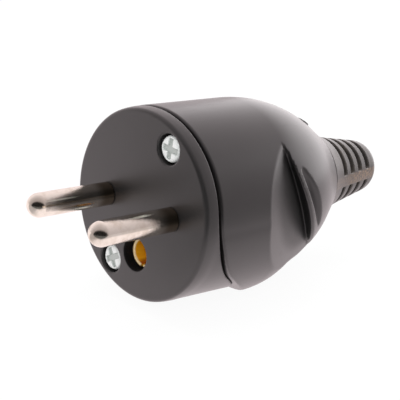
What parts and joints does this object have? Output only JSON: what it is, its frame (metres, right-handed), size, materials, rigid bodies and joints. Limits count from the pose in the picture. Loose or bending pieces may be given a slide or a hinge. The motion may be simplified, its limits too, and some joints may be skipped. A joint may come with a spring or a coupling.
{
  "type": "earthed mains plug",
  "caption": "Black rewireable mains plug with round pins, a recessed earth socket in its face, a moulded housing with finger grips and a ribbed cable boot.",
  "frame": {"origin": "middle of the face, halfway between the two pins, in the plane of the face", "axes": "-Y along the pins away from the face, +Y towards the cable, +X from the left pin to the right pin as seen by someone facing the pins, +Z away from the earth socket"},
  "size_m": [0.0388, 0.0885, 0.0406],
  "materials": {
    "face_plastic": "fine satin moulded black plastic",
    "housing_plastic": "satin moulded black plastic with a light grain",
    "boot_rubber": "dull black rubber, slightly brown",
    "nickel_plate": "bright nickel plate on brass",
    "brass": "plain brass",
    "zinc_plate": "bright zinc plate on steel"
  },
  "bodies": {
    "root": {"pin_carrier": "face_plastic", "housing": "housing_plastic", "cable_boot": "boot_rubber", "left_pin": "nickel_plate", "right_pin": "nickel_plate", "earth_contact": "brass", "left_terminal_screw": "zinc_plate", "right_terminal_screw": "zinc_plate", "earth_terminal_screw": "zinc_plate", "upper_housing_screw": "zinc_plate", "lower_housing_screw": "zinc_plate", "cord_clamp": "face_plastic", "left_clamp_screw": "zinc_plate", "right_clamp_screw": "zinc_plate"}
  },
  "joints": []
}
